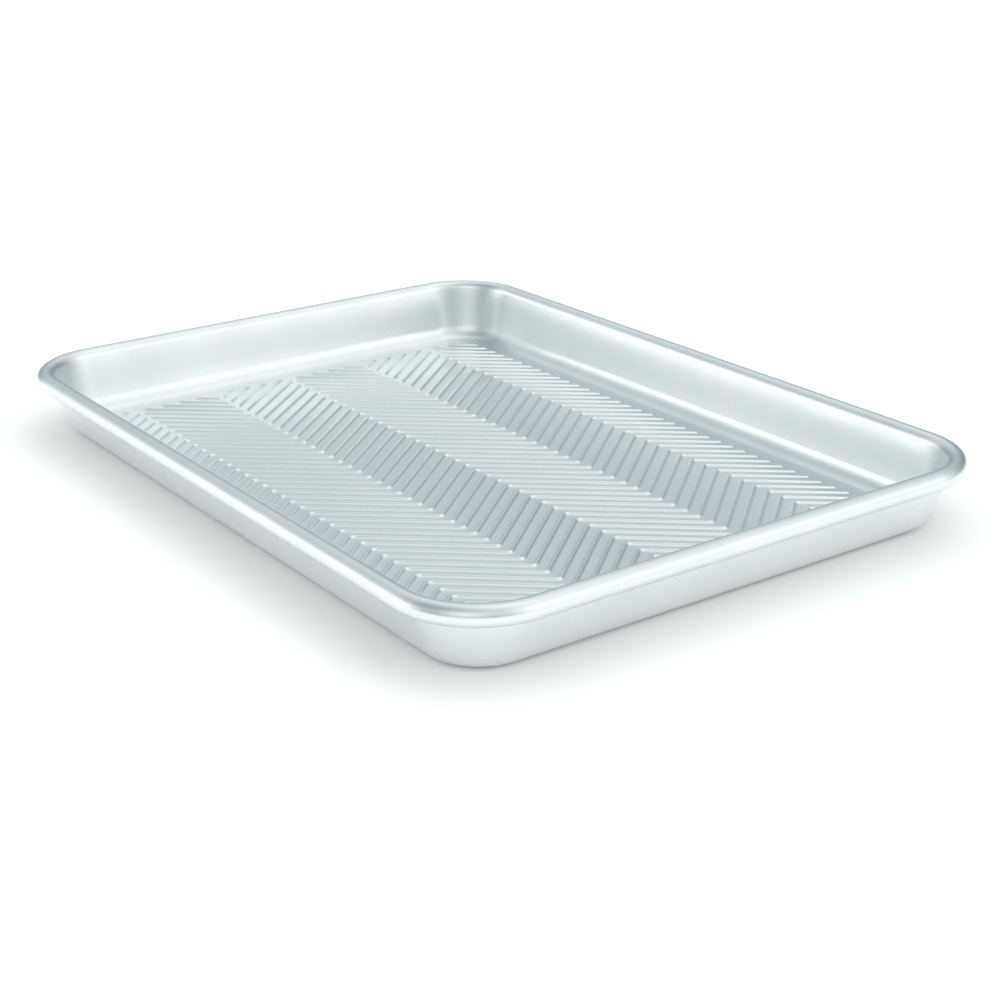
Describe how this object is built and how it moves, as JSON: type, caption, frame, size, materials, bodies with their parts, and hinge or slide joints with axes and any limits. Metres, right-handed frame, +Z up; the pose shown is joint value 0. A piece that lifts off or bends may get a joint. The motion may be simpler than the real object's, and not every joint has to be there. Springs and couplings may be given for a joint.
{
  "type": "sheet pan",
  "caption": "Shallow rectangular aluminium baking pan with a herringbone ribbed floor, outward-leaning walls, rounded corners and a rim curled around a stiffening wire.",
  "frame": {"origin": "on the table under the middle of the pan", "axes": "+X across the short side, +Y along the long side, the way the ribs point at the middle of the floor, +Z up out of the open top"},
  "size_m": [0.241, 0.332, 0.0274],
  "materials": {
    "aluminium_sheet": "uncoated drawn sheet, satin",
    "galvanised_wire": "dull galvanised steel"
  },
  "bodies": {
    "root": {"pan_body": "aluminium_sheet", "rim_wire": "galvanised_wire"}
  },
  "joints": []
}
